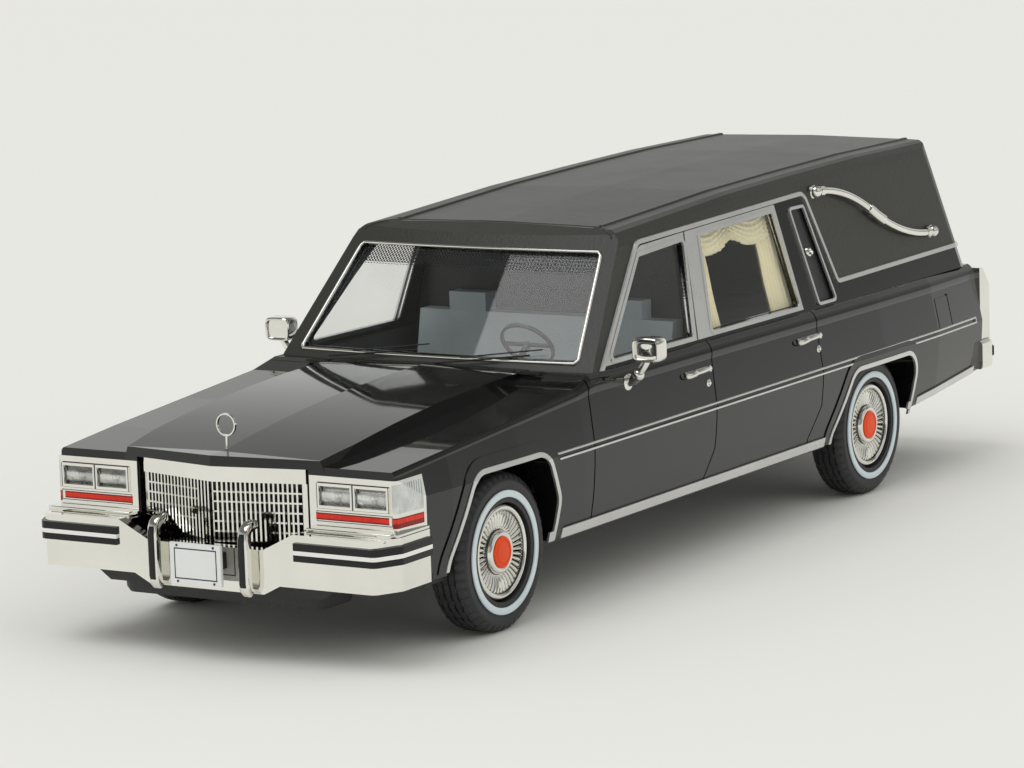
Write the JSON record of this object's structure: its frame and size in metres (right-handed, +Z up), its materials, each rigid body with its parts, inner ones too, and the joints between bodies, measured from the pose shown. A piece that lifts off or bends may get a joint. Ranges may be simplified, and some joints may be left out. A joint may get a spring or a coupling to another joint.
{
  "type": "scale model hearse",
  "caption": "Scale model of a three-way hearse: a long hollow glazed body with bright trim on two rolling axles with whitewall tyres.",
  "frame": {"origin": "on the floor under the middle of the model's box, midway between its ends", "axes": "+X to the car's left side, -Y to its front, +Z up"},
  "size_m": [0.0528, 0.146, 0.041],
  "materials": {
    "axle_steel": "steel axle rods",
    "base_black": "satin black base plate",
    "black_rubber": "black bumper strips",
    "bright_trim": "bright plated trim",
    "brushed_trim": "silver foil mouldings",
    "cabin_black": "black moulded interior",
    "clear_glazing": "clear glazing",
    "drape_cream": "ivory moulded drapes",
    "gloss_lacquer": "gloss black lacquer over cast resin",
    "grained_roof": "satin black grained roof covering",
    "hub_orange": "orange red hub discs",
    "lamp_glass": "clear ribbed lamp lenses",
    "plate_white": "white blank plates",
    "red_lens": "orange red lamp lenses",
    "seat_plastic": "slate blue moulded seats",
    "tyre_rubber": "black tyres",
    "whitewall": "bluish white sidewall rings"
  },
  "bodies": {
    "car": {"base_plate": "base_black", "bench_seat": "seat_plastic", "cabin_tray": "cabin_black", "coach_lamp_frames": "brushed_trim", "coach_lamp_lenses": "cabin_black", "cornering_lamps": "lamp_glass", "dashboard": "cabin_black", "door_handles": "bright_trim", "door_mirrors": "bright_trim", "door_window_frames": "brushed_trim", "front_bumper": "bright_trim", "front_bumper_strips": "black_rubber", "front_door_glass": "clear_glazing", "front_plate": "plate_white", "front_valance": "base_black", "grille": "bright_trim", "grille_header": "bright_trim", "headlamps": "lamp_glass", "headrests": "seat_plastic", "hood_ornament": "bright_trim", "inside_mirror": "cabin_black", "lamp_housings": "bright_trim", "landau_bars": "bright_trim", "load_deck": "cabin_black", "lower_body": "gloss_lacquer", "overrider_pads": "black_rubber", "overriders": "bright_trim", "partition": "cabin_black", "plate_bracket": "base_black", "rear_bumper": "bright_trim", "rear_door_glass": "clear_glazing", "rear_plate": "plate_white", "roof_edge_trim": "brushed_trim", "roof_shell": "grained_roof", "side_mouldings": "brushed_trim", "sill_mouldings": "brushed_trim", "steering_wheel": "cabin_black", "tail_lamp_housings": "bright_trim", "tail_lamps": "red_lens", "tailgate_glass": "clear_glazing", "tailgate_handle": "bright_trim", "tailgate_window_trim": "bright_trim", "turn_lamps": "red_lens", "wheel_arch_lips": "brushed_trim", "window_band": "gloss_lacquer", "window_drapes": "drape_cream", "windscreen_glass": "clear_glazing", "windscreen_trim": "bright_trim"},
    "front_wheelset": {"front_axle": "axle_steel", "front_hub_discs": "hub_orange", "front_tyres": "tyre_rubber", "front_wheel_covers": "bright_trim", "front_whitewalls": "whitewall"},
    "rear_wheelset": {"rear_axle": "axle_steel", "rear_hub_discs": "hub_orange", "rear_tyres": "tyre_rubber", "rear_wheel_covers": "bright_trim", "rear_whitewalls": "whitewall"}
  },
  "joints": [
    {"name": "front_axle_roll", "type": "hinge", "parent": "car", "child": "front_wheelset", "pos_m": [0, -0.0475, 0.0085], "axis": [1, 0, 0], "continuous": true},
    {"name": "rear_axle_roll", "type": "hinge", "parent": "car", "child": "rear_wheelset", "pos_m": [0, 0.0377, 0.0085], "axis": [1, 0, 0], "continuous": true}
  ]
}
